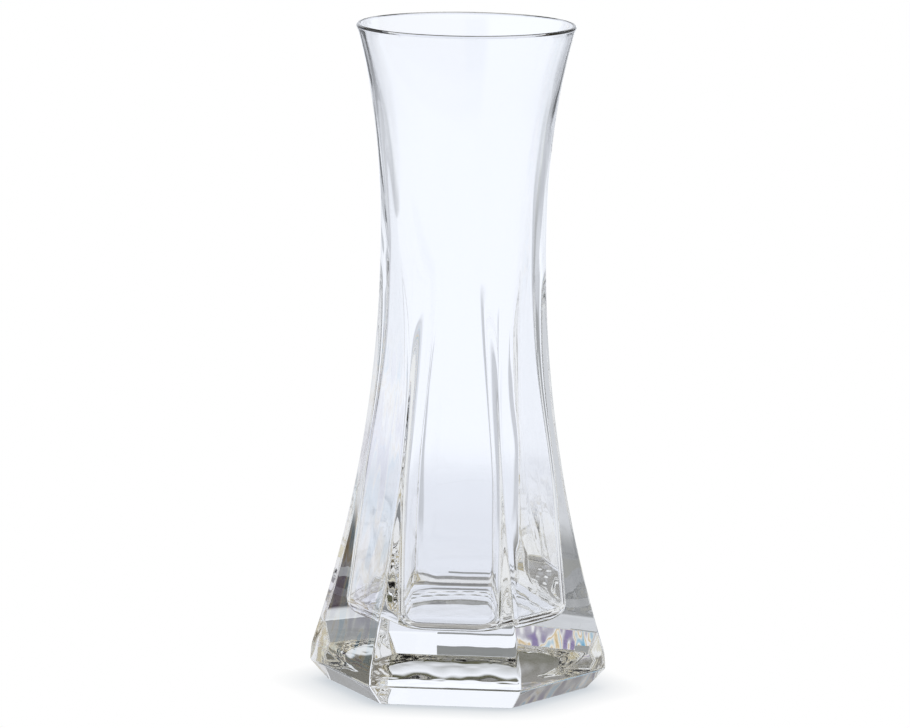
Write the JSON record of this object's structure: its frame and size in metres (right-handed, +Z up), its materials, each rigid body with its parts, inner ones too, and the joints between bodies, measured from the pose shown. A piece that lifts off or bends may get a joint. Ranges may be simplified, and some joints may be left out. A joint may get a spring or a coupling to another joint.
{
  "type": "bud vase",
  "caption": "Slim clear glass vase with a wide six-sided foot, a waisted neck that turns round, and a flared mouth for one stem or a few.",
  "frame": {"origin": "centre of the flat ring under the foot, on the surface the vase stands on", "axes": "+Z up along the vase's axis; +X through a corner of the six-sided foot; +Y square to one of its flat sides"},
  "size_m": [0.0848, 0.0738, 0.19],
  "materials": {
    "clear_glass": "fire-polished clear pressed glass, very slightly wavy, with a faint cool tint in the thick foot"
  },
  "bodies": {
    "root": {"glass_vase": "clear_glass"}
  },
  "joints": []
}
